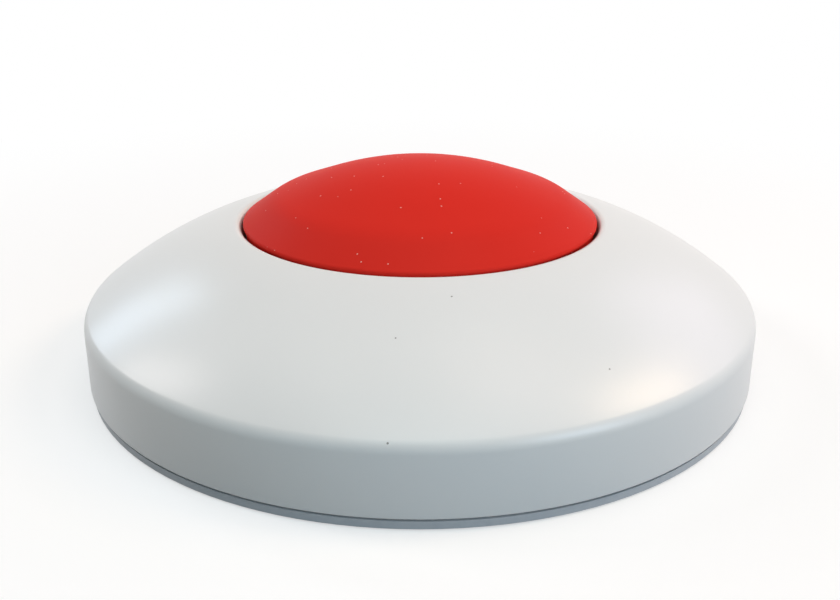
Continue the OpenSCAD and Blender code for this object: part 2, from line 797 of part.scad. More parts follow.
module switch_pins() {
    color(tin)
        drills(pin_places, pin_d, board_z - pin_out, board_t + pin_out);
}

module battery_holder() {
    wall = holder_floor + cell_h - holder_drop;
    groove = strip_w + 2 * strip_gap;
    color(black)
        translate([0, cell_y, board_top])
            difference() {
                cylinder(r = holder_r, h = wall);
                translate([0, 0, holder_floor])
                    cylinder(d = cell_d + 2 * cell_gap, h = cell_h);
                translate([-finger_w / 2, -holder_r - over, holder_floor])
                    cube([finger_w, holder_r, cell_h]);
                translate([-groove / 2, -cell_d / 4 - strip_gap, holder_floor - strip_t])
                    cube([groove, cell_d / 4 + holder_r + over, strip_t + over]);
                translate([-groove / 2, holder_r - holder_t * 2, -over])
                    cube([groove, holder_t * 2 + over, holder_floor + over]);
            }
}

module coin_cell() {
    r = cell_d / 2;
    edge = cell_h / 10;
    lid_r = r - cell_d / 12;
    color(steel)
        translate([0, cell_y, cell_z])
            rotate_extrude()
                polygon([[0, 0], [lid_r, 0], [lid_r, edge], [r - edge, edge], [r, 2 * edge],
                    [r, cell_h - edge], [r - edge, cell_h], [0, cell_h]]);
}

// Strip over the cell, bent down on both sides to solder feet on the board
module positive_contact() {
    leg_x = holder_r + strip_gap;
    top = cell_top + strip_t - board_top;
    color(tin)
        translate([0, cell_y + strip_w / 2, board_top])
            rotate([90, 0, 0])
                linear_extrude(strip_w) {
                    translate([-leg_x - strip_t, top - strip_t])
                        square([2 * (leg_x + strip_t), strip_t]);
                    for (side = [0, 1])
                        mirror([side, 0]) {
                            translate([leg_x, 0])
                                square([strip_t, top]);
                            translate([leg_x, 0])
                                square([strip_foot, strip_t]);
                        }
                }
}

// Strip under the cell, led out towards the switch and down to one solder foot
module negative_contact() {
    start = -cell_d / 4;
    bend = holder_r - holder_t;
    lift = holder_floor - strip_t;
    color(tin)
        translate([strip_w / 2, cell_y, board_top])
            rotate([90, 0, -90])
                linear_extrude(strip_w)
                    mirror([1, 0]) {
                        translate([start, lift])
                            square([bend - start + strip_t, strip_t]);
                        translate([bend, 0])
                            square([strip_t, holder_floor]);
                        translate([bend, 0])
                            square([holder_t + strip_foot, strip_t]);
                    }
}

module radio_board() {
    color(green)
        translate([-chip_x, chip_y, board_top])
            slab(0, radio_t)
                square([radio_w, radio_l], center = true);
}

module radio_can() {
    can = [radio_w, radio_l] - 2 * can_inset * [1, 1];
    vent_d = 1;
    vents = [for (i = [-1.5 : 1.5]) [i * can.x / 5, 0]];
    color(steel)
        translate([-chip_x, chip_y, board_top + radio_t])
            difference() {
                slab(0, can_h)
                    square(can, center = true);
                slab(-over, can_h - can_t + over)
                    square(can - 2 * can_t * [1, 1], center = true);
                drills(vents, vent_d, can_h - can_t - over, can_t + 2 * over);
            }
}

module antenna_coil() {
    color([0.72, 0.45, 0.25])
        wire(coil_path, coil_wire_d, [1, 0, 0]);
}

// Height of the chip's leads where they leave its body, and of the body above the board
lead_z = chip_h / 2;
chip_lift = 0.1;

module microcontroller() {
    mark_d = chip_w / 8;
    mark = chip_w / 2 - mark_d;
    color(black)
        translate([chip_x, chip_y, board_top + chip_lift])
            difference() {
                slab(0, chip_h)
                    square(chip_w, center = true);
                translate([-mark, mark, chip_h - chip_lift])
                    cylinder(d = mark_d, h = over);
            }
}

// Gull-wing leads in a row along each side of the chip
module chip_leads() {
    knee = lead_l / 2;
    drop = lead_z + chip_lift;
    color(tin)
        translate([chip_x, chip_y, board_top])
            for (side = [0 : 3], i = [0 : leads - 1])
                rotate(side * 90)
                    translate([chip_w / 2, (i - (leads - 1) / 2) * lead_pitch, 0])
                        rib(0, lead_w) {
                            translate([0, drop])
                                square([knee, lead_t]);
                            translate([knee - lead_t, 0])
                                square([lead_t, drop + lead_t]);
                            translate([knee - lead_t, 0])
                                square([lead_l - knee + lead_t, lead_t]);
                        }
}

// Outline with half-round ends, used by the crystal's can and flange
module stadium(l, w) {
    square([l - w, w], center = true);
    for (side = [-1, 1])
        translate([side * (l - w) / 2, 0])
            circle(d = w);
}

module crystal() {
    color(steel)
        translate([chip_x, chip_y + crystal_y, 0]) {
            slab(board_top, crystal_flange)
                stadium(crystal_l, crystal_w);
            slab(board_top, crystal_h)
                stadium(crystal_l - 2 * crystal_flange, crystal_w - 2 * crystal_flange);
        }
}

module reservoir_capacitor() {
    groove_z = can_cap_h * 0.45;
    groove = 0.3;
    vent = 0.2;
    color(steel)
        translate([-chip_x, chip_y + can_cap_y, board_top])
            difference() {
                union() {
                    slab(0, can_cap_foot)
                        square(can_cap_d, center = true);
                    cylinder(d = can_cap_d, h = can_cap_h);
                }
                translate([0, 0, groove_z])
                    rotate_extrude()
                        translate([can_cap_d / 2, 0])
                            circle(groove);
                for (a = [0, 90])
                    rotate(a)
                        translate([-can_cap_d / 3, -vent, can_cap_h - vent])
                            cube([can_cap_d * 2 / 3, 2 * vent, over]);
            }
}

// Row of small chip parts beside the control chip, at a turn about its centre
module small_row(turn, h) {
    translate([chip_x, chip_y, board_top])
        rotate(turn)
            for (i = [0 : small_count - 1])
                translate([(i - (small_count - 1) / 2) * small_pitch, -small_offset, 0])
                    slab(0, h)
                        square([small_w, small_l], center = true);
}

module chip_capacitors() {
    color([0.76, 0.65, 0.50])
        small_row(0, small_cap_h);
}

module chip_resistors() {
    color(black)
        small_row(90, small_res_h);
}

base_plate();
top_cover();
rubber_feet();
button_cap();
return_spring();
circuit_board();
board_screws();
switch_body();
switch_plunger();
switch_pins();
battery_holder();
coin_cell();
positive_contact();
negative_contact();
radio_board();
radio_can();
antenna_coil();
microcontroller();
chip_leads();
crystal();
reservoir_capacitor();
chip_capacitors();
chip_resistors();
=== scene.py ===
import math

import bmesh
import bpy
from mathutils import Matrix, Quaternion, Vector


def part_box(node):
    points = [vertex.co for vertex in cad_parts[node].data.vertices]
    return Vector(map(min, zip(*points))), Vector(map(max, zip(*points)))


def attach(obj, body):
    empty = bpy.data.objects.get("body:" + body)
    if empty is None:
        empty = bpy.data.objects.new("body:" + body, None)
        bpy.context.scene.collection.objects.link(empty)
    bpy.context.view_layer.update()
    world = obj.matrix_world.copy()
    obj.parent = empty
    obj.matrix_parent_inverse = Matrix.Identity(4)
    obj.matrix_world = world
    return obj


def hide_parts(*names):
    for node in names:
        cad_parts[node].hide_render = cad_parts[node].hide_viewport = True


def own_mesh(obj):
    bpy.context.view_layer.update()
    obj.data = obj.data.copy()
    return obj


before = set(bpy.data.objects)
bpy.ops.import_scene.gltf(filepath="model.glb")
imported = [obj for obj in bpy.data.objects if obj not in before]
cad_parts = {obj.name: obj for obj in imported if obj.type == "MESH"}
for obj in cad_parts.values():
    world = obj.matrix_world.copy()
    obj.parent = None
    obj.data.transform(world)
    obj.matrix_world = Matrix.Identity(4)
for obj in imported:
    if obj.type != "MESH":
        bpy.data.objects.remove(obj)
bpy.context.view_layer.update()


# Camera: stands close in front of the button, 14 cm from its axis, and looks down on it.
# Its place, tilt and lens come from fitting the outlines of the cover and of the red dome.
bpy.ops.object.select_all(action="DESELECT")
bpy.ops.object.camera_add(location=(0, -0.140, 0.0635), rotation=(math.radians(68.41), 0, 0))
view_camera = bpy.context.object
view_camera.name = "view_camera"
view_camera.data.sensor_fit = "HORIZONTAL"
view_camera.data.sensor_width = 36
view_camera.data.lens = 41.04
view_camera.data.clip_start = 0.005
bpy.context.scene.camera = view_camera
bpy.context.scene.view_settings.view_transform = "Standard"


# Studio: a sweep of white paper under the button, and five soft boxes over it and beside it. A long lamp
# and a window on the left, a window in front and a narrow warm lamp on the right make the glints.
class Feed:
    """One output of a finish's nodes. Sums of feeds add their Math nodes to the finish."""

    def __init__(self, tree, socket=None):
        self.tree = tree
        self.socket = socket

    def node(self, kind, ends=None, out=0, **settings):
        """Adds a node with its settings, and a value or a feed for each named end."""
        made = self.tree.nodes.new("ShaderNode" + kind)
        for name, value in settings.items():
            setattr(made, name, value)
        for name, value in (ends or {}).items():
            if isinstance(value, Feed):
                self.tree.links.new(value.socket, made.inputs[name])
            else:
                made.inputs[name].default_value = value
        return Feed(self.tree, made.outputs[out] if made.outputs else None)

    def math(self, operation, first, second=0.0):
        return self.node("Math", {0: first, 1: second}, operation=operation)

    def mixed(self, low, high):
        """A colour that goes from low to high as this feed goes from 0 to 1."""
        return self.node("Mix", {0: self, 6: low, 7: high}, out=2, data_type="RGBA")

    def __add__(self, other):
        return self.math("ADD", self, other)

    def __sub__(self, other):
        return self.math("SUBTRACT", self, other)

    def __rsub__(self, other):
        return self.math("SUBTRACT", other, self)

    def __mul__(self, other):
        return self.math("MULTIPLY", self, other)

    def __lt__(self, other):
        return self.math("LESS_THAN", self, other)

    def __gt__(self, other):
        return self.math("GREATER_THAN", self, other)

    def __abs__(self):
        return self.math("ABSOLUTE", self)

    __radd__ = __add__
    __rmul__ = __mul__


def seen_directly(feed):
    """1 for what the camera sees, also in a gloss or through a clear part, and 0 for light on its way."""
    camera_ray = feed.node("LightPath", out="Is Camera Ray")
    glossy_ray = feed.node("LightPath", out="Is Glossy Ray")
    clear_ray = feed.node("LightPath", out="Is Transmission Ray")
    return camera_ray.math("MAXIMUM", camera_ray, glossy_ray.math("MAXIMUM", glossy_ray, clear_ray))


bpy.ops.mesh.primitive_plane_add(size=6)
paper = bpy.context.object
paper.name = "paper_sweep"
white_paper = bpy.data.materials.new("white_paper")
white_paper.use_nodes = True
white_paper.node_tree.nodes.clear()
feed = Feed(white_paper.node_tree)
paper_places = feed.node("TexCoord", out="Object")
from_button = feed.node("VectorMath", {0: paper_places}, out="Value", operation="LENGTH")
shadow_reach = 0.07
white_from = 0.20
fade = {"Value": from_button, "From Min": shadow_reach, "From Max": white_from}
far_off = feed.node("MapRange", fade, interpolation_type="SMOOTHSTEP")
paper_lit = feed.node("BsdfDiffuse", {"Color": (0.40, 0.40, 0.40, 1)})
paper_skin = feed.node("BsdfDiffuse", {"Color": (0.50, 0.50, 0.50, 1)})
paper_glow = feed.node("Emission", {"Color": (1, 1, 1, 1), "Strength": 0.55})
paper_near = feed.node("AddShader", {0: paper_skin, 1: paper_glow})
paper_white = feed.node("Emission", {"Color": (1, 1, 1, 1), "Strength": 1})
paper_seen = feed.node("MixShader", {0: far_off, 1: paper_near, 2: paper_white})
paper_mix = feed.node("MixShader", {0: seen_directly(feed), 1: paper_lit, 2: paper_seen})
feed.node("OutputMaterial", {"Surface": paper_mix})
paper.data.materials.append(white_paper)

room = bpy.data.worlds.new("room_light")
bpy.context.scene.world = room
room.use_nodes = True
room.node_tree.nodes.clear()
feed = Feed(room.node_tree)
room_fill = feed.node("Background", {"Color": (0.86, 0.93, 1.0, 1), "Strength": 0.02})
room_white = feed.node("Background", {"Color": (1, 1, 1, 1), "Strength": 1})
room_mix = feed.node("MixShader", {0: seen_directly(feed), 1: room_fill, 2: room_white})
feed.node("OutputWorld", {"Surface": room_mix})


def soft_lamp(name, place, size, power, colour, lean=0):
    """A soft box that faces the button, leans by some degrees and isn't seen itself."""
    aim = Vector((0, 0, 0.015))
    turn = (aim - Vector(place)).to_track_quat("-Z", "Y")
    turn = turn @ Quaternion((0, 0, 1), math.radians(lean))
    bpy.ops.object.light_add(type="AREA", location=place, rotation=turn.to_euler())
    lamp = bpy.context.object
    lamp.name = name
    lamp.data.shape = "RECTANGLE"
    lamp.data.size, lamp.data.size_y = size
    lamp.data.energy = power
    lamp.data.color = colour
    lamp.visible_camera = False


soft_lamp("overhead_box", (0.05, -0.12, 0.88), (0.80, 0.80), 1.95, (1.00, 0.95, 0.88))
soft_lamp("front_box", (0, -0.50, 0.76), (0.60, 0.60), 1.5, (0.59, 0.92, 1.00))
soft_lamp("left_box", (-0.48, 0.10, 0.78), (0.60, 0.60), 0.9, (1.00, 0.94, 0.93))
soft_lamp("left_lamp", (-0.73, 0.24, 0.54), (0.10, 0.36), 1.35, (1.00, 0.94, 0.93), -24)
soft_lamp("left_window", (-0.66, 0.57, 0.37), (0.14, 0.42), 1.25, (0.70, 0.84, 1.00), 27)
soft_lamp("right_box", (0.66, 0.44, 0.48), (0.50, 0.45), 1.05, (0.96, 0.82, 1.00))
soft_lamp("right_top_box", (0.30, 0, 0.87), (0.40, 0.40), 0.75, (1.00, 0.74, 0.62))
soft_lamp("front_window", (0.75, -0.65, 0.32), (0.50, 0.50), 3.7, (0.66, 0.83, 1.00))
soft_lamp("warm_lamp", (0.68, 0.08, 0.68), (0.40, 0.05), 2.4, (1.00, 0.75, 0.53), -50)


# Base plate: white moulded plastic like the cover, with painted shade that greys it towards its foot. A
# collar centres the cover on it and four hooks hold the cover, so that only a narrow band shows under the
# seam. Its underside has recesses for the feet and two holes for wall screws.
MM = 0.001


def new_finish(name, **sockets):
    """A finish with its shader, the sockets that are the same all over, and a feed of places in metres."""
    finish = bpy.data.materials.new(name)
    finish.use_nodes = True
    shader = finish.node_tree.nodes["Principled BSDF"]
    for socket, value in sockets.items():
        shader.inputs[socket.replace("_", " ")].default_value = value
    return finish, shader, Feed(finish.node_tree).node("TexCoord", out="Object")


def lead(feed, shader, socket):
    """Leads a feed into a socket of the shader."""
    feed.tree.links.new(feed.socket, shader.inputs[socket])


def noise(places, scale, detail=2.0):
    """Soft even noise with about that many patches per metre."""
    return places.node("TexNoise", {"Vector": places, "Scale": scale, "Detail": detail})


def dress(finish, *nodes):
    """Gives parts that are carried over from the frame their finish."""
    for node in nodes:
        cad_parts[node].data.materials.clear()
        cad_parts[node].data.materials.append(finish)


base_plastic, shader, places = new_finish("base_plastic", Specular_IOR_Level=0.3)
height = places.node("SeparateXYZ", {0: places}, out="Z")
foot_shade_top = 3.0 * MM
foot_shade_full = 1.2 * MM
# Painted shade: below 3 mm the colour darkens to a bluish grey, standing in for the shade under the cover's
# overhang.
low = places.node("MapRange", {"Value": height, "From Min": foot_shade_top, "From Max": foot_shade_full})
painted_foot_shade = low * (0.75 + noise(places, 900, 3) * 0.4)
lead(painted_foot_shade.mixed((0.79, 0.795, 0.79, 1), (0.54, 0.56, 0.59, 1)), shader, "Base Color")
lead(0.30 + painted_foot_shade * 0.2, shader, "Roughness")
dress(base_plastic, "base_plate")


# Rubber feet: four black moulded discs, stuck into the round recesses of the base.
# Their skin is dull and slightly open, with pale dust in it.
def bump(places, height, depth):
    """A normal roughened by a height from 0 to 1 that stands for a depth in metres."""
    return places.node("Bump", {"Height": height, "Strength": 1.0, "Distance": depth})


black_rubber, shader, places = new_finish("black_rubber", Specular_IOR_Level=0.3)
skin = noise(places, 2600, 4)
dust = noise(places, 300, 4) * skin
lead(dust.mixed((0.012, 0.012, 0.013, 1), (0.10, 0.10, 0.098, 1)), shader, "Base Color")
lead(0.72 + skin * 0.2, shader, "Roughness")
lead(bump(places, skin, 0.02 * MM), shader, "Normal")
dress(black_rubber, "rubber_feet")


# Circuit boards: glass laminate under green lacquer, with copper runs that show as paler lines
# and bare tinned spots. The large board is screwed to four bosses, the small one is soldered to it.
def specks(places, scale, radius, share):
    """Sparse round specks of a radius in metres, in a share of the cells of a loose grid."""
    ends = {"Vector": places, "Scale": scale}
    near = places.node("TexVoronoi", ends, out="Distance")
    lot = places.node("SeparateColor", {0: places.node("TexVoronoi", ends, out="Color")})
    return (near < radius * scale) * (lot < share)


def copper_runs(along, across):
    """Straight runs at an even spacing, in short lengths of which about a third are there."""
    lanes_per_metre = 640
    lengths_per_metre = 130
    share = 0.36
    half_width = 0.13
    lane = across * lanes_per_metre
    length = along * lengths_per_metre
    ends = {"X": length.math("FLOOR", length), "Y": lane.math("FLOOR", lane)}
    lot = lane.node("TexWhiteNoise", {"Vector": lane.node("CombineXYZ", ends)}, out="Value")
    return (abs(lane.math("FRACT", lane) - 0.5) < half_width) * (lot < share)


board_laminate, shader, places = new_finish("board_laminate", Specular_IOR_Level=0.5)
board_x = places.node("SeparateXYZ", {0: places}, out="X")
board_y = places.node("SeparateXYZ", {0: places}, out="Y")
run = places.math("MAXIMUM", copper_runs(board_x, board_y), copper_runs(board_y, board_x))
spots = specks(places, 420, 0.5 * MM, 0.30)
lacquer = noise(places, 60).mixed((0.008, 0.085, 0.030, 1), (0.012, 0.115, 0.042, 1))
lacquer = run.mixed(lacquer, (0.030, 0.230, 0.085, 1))
lead(spots.mixed(lacquer, (0.62, 0.62, 0.60, 1)), shader, "Base Color")
lead(spots * 0.9, shader, "Metallic")
lead(0.30 + noise(places, 900) * 0.12, shader, "Roughness")
lead(bump(places, run, 0.03 * MM), shader, "Normal")
dress(board_laminate, "circuit_board", "radio_board")


# Plain metal parts: plated screws, tinned pins, leads and contact strips, the radio's shield, the
# crystal's case and the coin cell. Each is bare metal, with fine scratches and a little tarnish.
def bare_metal(name, pale, dull, gloss, scratch_scale):
    """Metal between a pale and a dull colour, with scratches that run along X."""
    finish, shader, places = new_finish(name, Metallic=1.0)
    drawn_out = places.node("Mapping", {"Vector": places, "Scale": (0.08, 1, 1)})
    scratches = noise(drawn_out, scratch_scale, 4)
    tarnish = noise(places, 240, 4)
    lead(tarnish.mixed((*pale, 1), (*dull, 1)), shader, "Base Color")
    lead(gloss + scratches * 0.18 + tarnish * 0.08, shader, "Roughness")
    lead(bump(places, scratches, 0.003 * MM), shader, "Normal")
    return finish


plated_steel = bare_metal("plated_steel", (0.66, 0.67, 0.69), (0.50, 0.51, 0.53), 0.16, 4200)
tinned_metal = bare_metal("tinned_metal", (0.80, 0.80, 0.78), (0.62, 0.62, 0.60), 0.26, 3000)
cell_steel = bare_metal("cell_steel", (0.74, 0.74, 0.73), (0.64, 0.64, 0.63), 0.14, 5200)
dress(plated_steel, "board_screws", "crystal")
dress(tinned_metal, "switch_pins", "positive_contact", "negative_contact", "chip_leads", "radio_can")
dress(cell_steel, "coin_cell")


# Moulded parts: the switch's body and the cell's holder are smooth black plastic, and the control
# chip is dull black resin. The switch's plunger is ivory plastic that the button's stem presses.
def moulded(name, dark, light, gloss, grain_depth):
    """Moulded plastic between two close colours, with the fine grain of its mould."""
    finish, shader, places = new_finish(name)
    grain = noise(places, 4200, 3)
    lead(noise(places, 160).mixed((*dark, 1), (*light, 1)), shader, "Base Color")
    lead(gloss + grain * 0.12, shader, "Roughness")
    lead(bump(places, grain, grain_depth), shader, "Normal")
    return finish


black_plastic = moulded("black_plastic", (0.014, 0.014, 0.015), (0.024, 0.024, 0.026), 0.34, 0.004 * MM)
chip_resin = moulded("chip_resin", (0.020, 0.020, 0.021), (0.036, 0.036, 0.037), 0.52, 0.008 * MM)
plunger_plastic = moulded("plunger_plastic", (0.74, 0.70, 0.60), (0.79, 0.75, 0.66), 0.36, 0.003 * MM)
dress(black_plastic, "switch_body", "battery_holder")
dress(chip_resin, "microcontroller")
dress(plunger_plastic, "switch_plunger")


# Small board parts: tan ceramic capacitors and black resistors with tinned end caps, and an
# aluminium can on a black foot. All are soldered flat to the board.
def end_capped(name, node, axis, body, cap_length=0.35 * MM):
    """Chip parts of one row whose ends along an axis are tinned."""
    finish, shader, places = new_finish(name)
    low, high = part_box(node)
    along = places.node("SeparateXYZ", {0: places}, out=axis)
    middle = (low[axis] + high[axis]) / 2
    reach = (high[axis] - low[axis]) / 2 - cap_length
    capped = abs(along - middle) > reach
    blotch = noise(places, 1500)
    darker = [c * 0.8 for c in body]
    blotched = blotch.mixed((*body, 1), (*darker, 1))
    lead(capped.mixed(blotched, (0.72, 0.72, 0.70, 1)), shader, "Base Color")
    lead(capped * 0.95, shader, "Metallic")
    lead(0.34 + blotch * 0.14, shader, "Roughness")
    dress(finish, node)


end_capped("chip_ceramic", "chip_capacitors", 1, (0.50, 0.36, 0.22))
end_capped("chip_resistor", "chip_resistors", 0, (0.025, 0.025, 0.027))

can_aluminium, shader, places = new_finish("can_aluminium")
can_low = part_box("reservoir_capacitor")[0]
foot_height = 1 * MM
on_can = places.node("SeparateXYZ", {0: places}, out="Z") > can_low.z + foot_height
sheen = noise(places, 2200, 3)
drawn_can = sheen.mixed((0.72, 0.73, 0.74, 1), (0.82, 0.82, 0.83, 1))
lead(on_can.mixed((0.016, 0.016, 0.017, 1), drawn_can), shader, "Base Color")
lead(on_can, shader, "Metallic")
lead(0.24 + sheen * 0.16, shader, "Roughness")
dress(can_aluminium, "reservoir_capacitor")


# Aerial: ten open turns of lacquered copper wire, with one leg through a hole in the board.
# It stands in the clear space at the back of the board.
def wound_wire(name, path, thickness):
    """Round wire bent along a path, made a mesh with closed ends."""
    bpy.ops.object.select_all(action="DESELECT")
    bpy.ops.curve.primitive_nurbs_path_add()
    wire = bpy.context.object
    wire.name = name
    wire.data.splines.clear()
    run = wire.data.splines.new("POLY")
    run.points.add(len(path) - 1)
    for point, place in zip(run.points, path):
        point.co = (*place, 1)
    wire.data.bevel_depth = thickness / 2
    wire.data.bevel_resolution = 3
    wire.data.use_fill_caps = True
    bpy.ops.object.convert(target="MESH")
    bpy.ops.object.mode_set(mode="EDIT")
    bpy.ops.mesh.select_all(action="SELECT")
    bpy.ops.mesh.remove_doubles(threshold=0.001 * MM)
    bpy.ops.mesh.normals_make_consistent(inside=False)
    bpy.ops.object.mode_set(mode="OBJECT")
    bpy.ops.object.shade_smooth_by_angle(angle=math.radians(40))
    return wire


coil_low, coil_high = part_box("antenna_coil")
coil_wire = 0.8 * MM
coil_turns = 10
coil_steps = 28
coil_r = (coil_high.y - coil_low.y - coil_wire) / 2
coil_y = (coil_high.y + coil_low.y) / 2
coil_z = coil_high.z - coil_wire / 2 - coil_r
coil_start = coil_low.x + coil_wire / 2
coil_pitch = 1.5 * MM
coil_path = [(coil_start, coil_y + coil_r, coil_low.z)]
for i in range(coil_turns * coil_steps + 1):
    turn = i / coil_steps
    angle = 2 * math.pi * turn
    coil_path.append((
        coil_start + turn * coil_pitch,
        coil_y + coil_r * math.cos(angle),
        coil_z + coil_r * math.sin(angle),
    ))
aerial = wound_wire("aerial", coil_path, coil_wire)
copper_wire, shader, places = new_finish("copper_wire", Metallic=1.0, Coat_Weight=0.6)
warmth = noise(places, 700, 3)
lead(warmth.mixed((0.62, 0.25, 0.10, 1), (0.74, 0.33, 0.15, 1)), shader, "Base Color")
lead(0.22 + warmth * 0.14, shader, "Roughness")
aerial.data.materials.append(copper_wire)
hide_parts("antenna_coil")
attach(aerial, "housing")


# Return spring: drawn steel wire wound to a compression spring whose end turns lie almost closed.
# It stands on the well's floor round the guide tube, and its upper end sits in the cap's cup.
spring_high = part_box("return_spring")[1]
floor_top = 14.9 * MM
seat_z = 26.74 * MM
spring_wire = 0.9 * MM
spring_turns = 5.5
spring_steps = 36
spring_r = spring_high.x - spring_wire / 2
end_rise = 1.4 * MM
spring_rise = seat_z - floor_top - spring_wire
mid_pitch = (spring_rise - 2 * end_rise) / (spring_turns - 2)
spring_path = []
for i in range(int(spring_turns * spring_steps) + 1):
    turn = i / spring_steps
    angle = 2 * math.pi * turn
    mid_part = min(max(turn - 1, 0), spring_turns - 2)
    rise = (turn - mid_part) * end_rise + mid_part * mid_pitch
    spring_path.append((
        spring_r * math.cos(angle),
        spring_r * math.sin(angle),
        floor_top + spring_wire / 2 + rise,
    ))
spring = wound_wire("spring", spring_path, spring_wire)
spring_steel, shader, places = new_finish("spring_steel", Metallic=1.0)
drawn = noise(places, 3800, 4)
lead(noise(places, 260).mixed((0.46, 0.47, 0.49, 1), (0.62, 0.63, 0.65, 1)), shader, "Base Color")
lead(0.20 + drawn * 0.22, shader, "Roughness")
lead(bump(places, drawn, 0.003 * MM), shader, "Normal")
spring.data.materials.append(spring_steel)
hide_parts("return_spring")
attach(spring, "housing")
travel = 2.5 * MM
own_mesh(spring)


# Button cap: red moulded palm button with a low crown, a soft shoulder, a straight flank and a round
# edge. Under it are a stem, a cup for the spring, ribs and three legs that snap under the well's floor.
def pick(piece, corners):
    """Selects the drawn corners at the given radius and height, and nothing else."""
    bpy.ops.mesh.select_all(action="DESELECT")
    drawn = bmesh.from_edit_mesh(piece.data)
    for corner in drawn.verts:
        corner.select_set(any(math.hypot(corner.co.x - r, corner.co.z - z) < 0.01 * MM for r, z in corners))
    drawn.select_flush_mode()
    bmesh.update_edit_mesh(piece.data)


def draw_outline(name, outline, closed):
    """Draws a section of radius and height, corner after corner, out of one point."""
    bpy.ops.object.select_all(action="DESELECT")
    bpy.ops.mesh.primitive_plane_add(size=MM)
    piece = bpy.context.object
    piece.name = name
    bpy.ops.object.mode_set(mode="EDIT")
    bpy.ops.mesh.merge(type="CENTER")
    bpy.ops.transform.translate(value=(outline[0][0], 0, outline[0][1]))
    for here, there in zip(outline, outline[1:]):
        step = (there[0] - here[0], 0, there[1] - here[1])
        bpy.ops.mesh.extrude_vertices_move(TRANSFORM_OT_translate={"value": step})
    if closed:
        pick(piece, [outline[0], outline[-1]])
        bpy.ops.mesh.edge_face_add()
    return piece


def soften(piece, corners, reach, steps):
    """Rounds drawn corners, starting at a reach from each."""
    pick(piece, corners)
    bpy.ops.mesh.bevel(offset=reach, segments=steps, affect="VERTICES", profile=0.5)


def close_up(piece):
    """Merges the seam and the poles of a piece in edit mode, and turns its faces outwards."""
    bpy.ops.mesh.select_all(action="SELECT")
    bpy.ops.mesh.remove_doubles(threshold=0.001 * MM)
    bpy.ops.mesh.normals_make_consistent(inside=False)
    bpy.ops.object.mode_set(mode="OBJECT")
    return piece


def turn_round(piece, steps=192):
    """Turns a drawn section about the button's axis."""
    bpy.ops.mesh.select_all(action="SELECT")
    bpy.ops.mesh.spin(steps=steps, angle=2 * math.pi, center=(0, 0, 0), axis=(0, 0, 1))
    return close_up(piece)


def set_at(piece, angle):
    """Turns a piece about the button's axis to an angle in degrees."""
    piece.rotation_euler.z = math.radians(angle)
    bpy.ops.object.transform_apply(location=False, rotation=True, scale=False)
    return piece


def plate(name, outline, thickness, angle):
    """A flat rib with a section of radius and height that stands out at an angle."""
    piece = draw_outline(name, outline, True)
    bpy.ops.mesh.select_all(action="SELECT")
    bpy.ops.mesh.edge_face_add()
    bpy.ops.transform.translate(value=(0, -thickness / 2, 0))
    bpy.ops.mesh.extrude_region_move(TRANSFORM_OT_translate={"value": (0, thickness, 0)})
    return set_at(close_up(piece), angle)


def work(piece, others, operation):
    """Fuses a group of shapes into a piece, or cuts them out of it."""
    bpy.ops.object.select_all(action="DESELECT")
    for other in others:
        other.select_set(True)
    bpy.context.view_layer.objects.active = others[0]
    bpy.ops.object.join()
    group = bpy.context.object
    change = piece.modifiers.new("change", "BOOLEAN")
    change.operation = operation
    change.solver = "EXACT"
    change.object = group
    bpy.ops.object.select_all(action="DESELECT")
    bpy.context.view_layer.objects.active = piece
    piece.select_set(True)
    bpy.ops.object.modifier_apply(modifier=change.name)
    bpy.data.objects.remove(group)


def sweep(centre, start, end, steps):
    """Corners of an arc about a centre from start, which is left out, to end."""
    a = math.atan2(start[1] - centre[1], start[0] - centre[0])
    b = math.atan2(end[1] - centre[1], end[0] - centre[0])
    radius = math.dist(centre, end)
    angles = [a + (b - a) * i / steps for i in range(1, steps + 1)]
    return [(centre[0] + radius * math.cos(t), centre[1] + radius * math.sin(t)) for t in angles]


cap_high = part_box("button_cap")[1]
cap_r = cap_high.x
apex_z = cap_high.z
floor_t = 1.8 * MM
floor_z = floor_top - floor_t
crown_r = 21.8 * MM
crown_h = 4.7 * MM
crown_slope = math.radians(19.5)
flank_h = 3.34 * MM
edge_round = 0.5 * MM
shoulder_round = 9 * MM
cap_t = 2 * MM
skirt_set_back = 0.4 * MM
skirt_t = 1.4 * MM
skirt_spare = 0.5 * MM
skirt_out = cap_r - skirt_set_back
skirt_r = skirt_out - skirt_t
skirt_z = floor_top + travel + skirt_spare
stem_r = 4 * MM
stem_gap = 0.2 * MM
stem_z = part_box("switch_plunger")[1].z + stem_gap
cup_r = 8.95 * MM
cup_t = 1.1 * MM
cup_depth = 1.2 * MM
cup_out = cup_r + cup_t
cup_z = seat_z - cup_depth
shoulder_z = apex_z - crown_h
edge_z = shoulder_z - flank_h
crown_rad = (crown_r * math.tan(crown_slope) - crown_h) / (1 / math.cos(crown_slope) - 1)
crown_o = (0, apex_z - crown_rad)
crown_end = (crown_rad * math.sin(crown_slope), crown_o[1] + crown_rad * math.cos(crown_slope))
flank_slope = math.atan2(flank_h, cap_r - crown_r)
edge_run = edge_round * math.tan((math.pi / 2 - flank_slope) / 2)
lip_h = 0.25 * MM
lip_z = edge_z - edge_run - lip_h


def under_crown(r, depth):
    """Height under the crown at a radius, a depth below its skin."""
    return crown_o[1] + math.sqrt((crown_rad - depth) ** 2 - r * r)


def under_flank(r, depth):
    """Height under the flank at a radius, a depth below its skin."""
    return edge_z + (cap_r - r) * math.tan(flank_slope) - depth / math.cos(flank_slope)


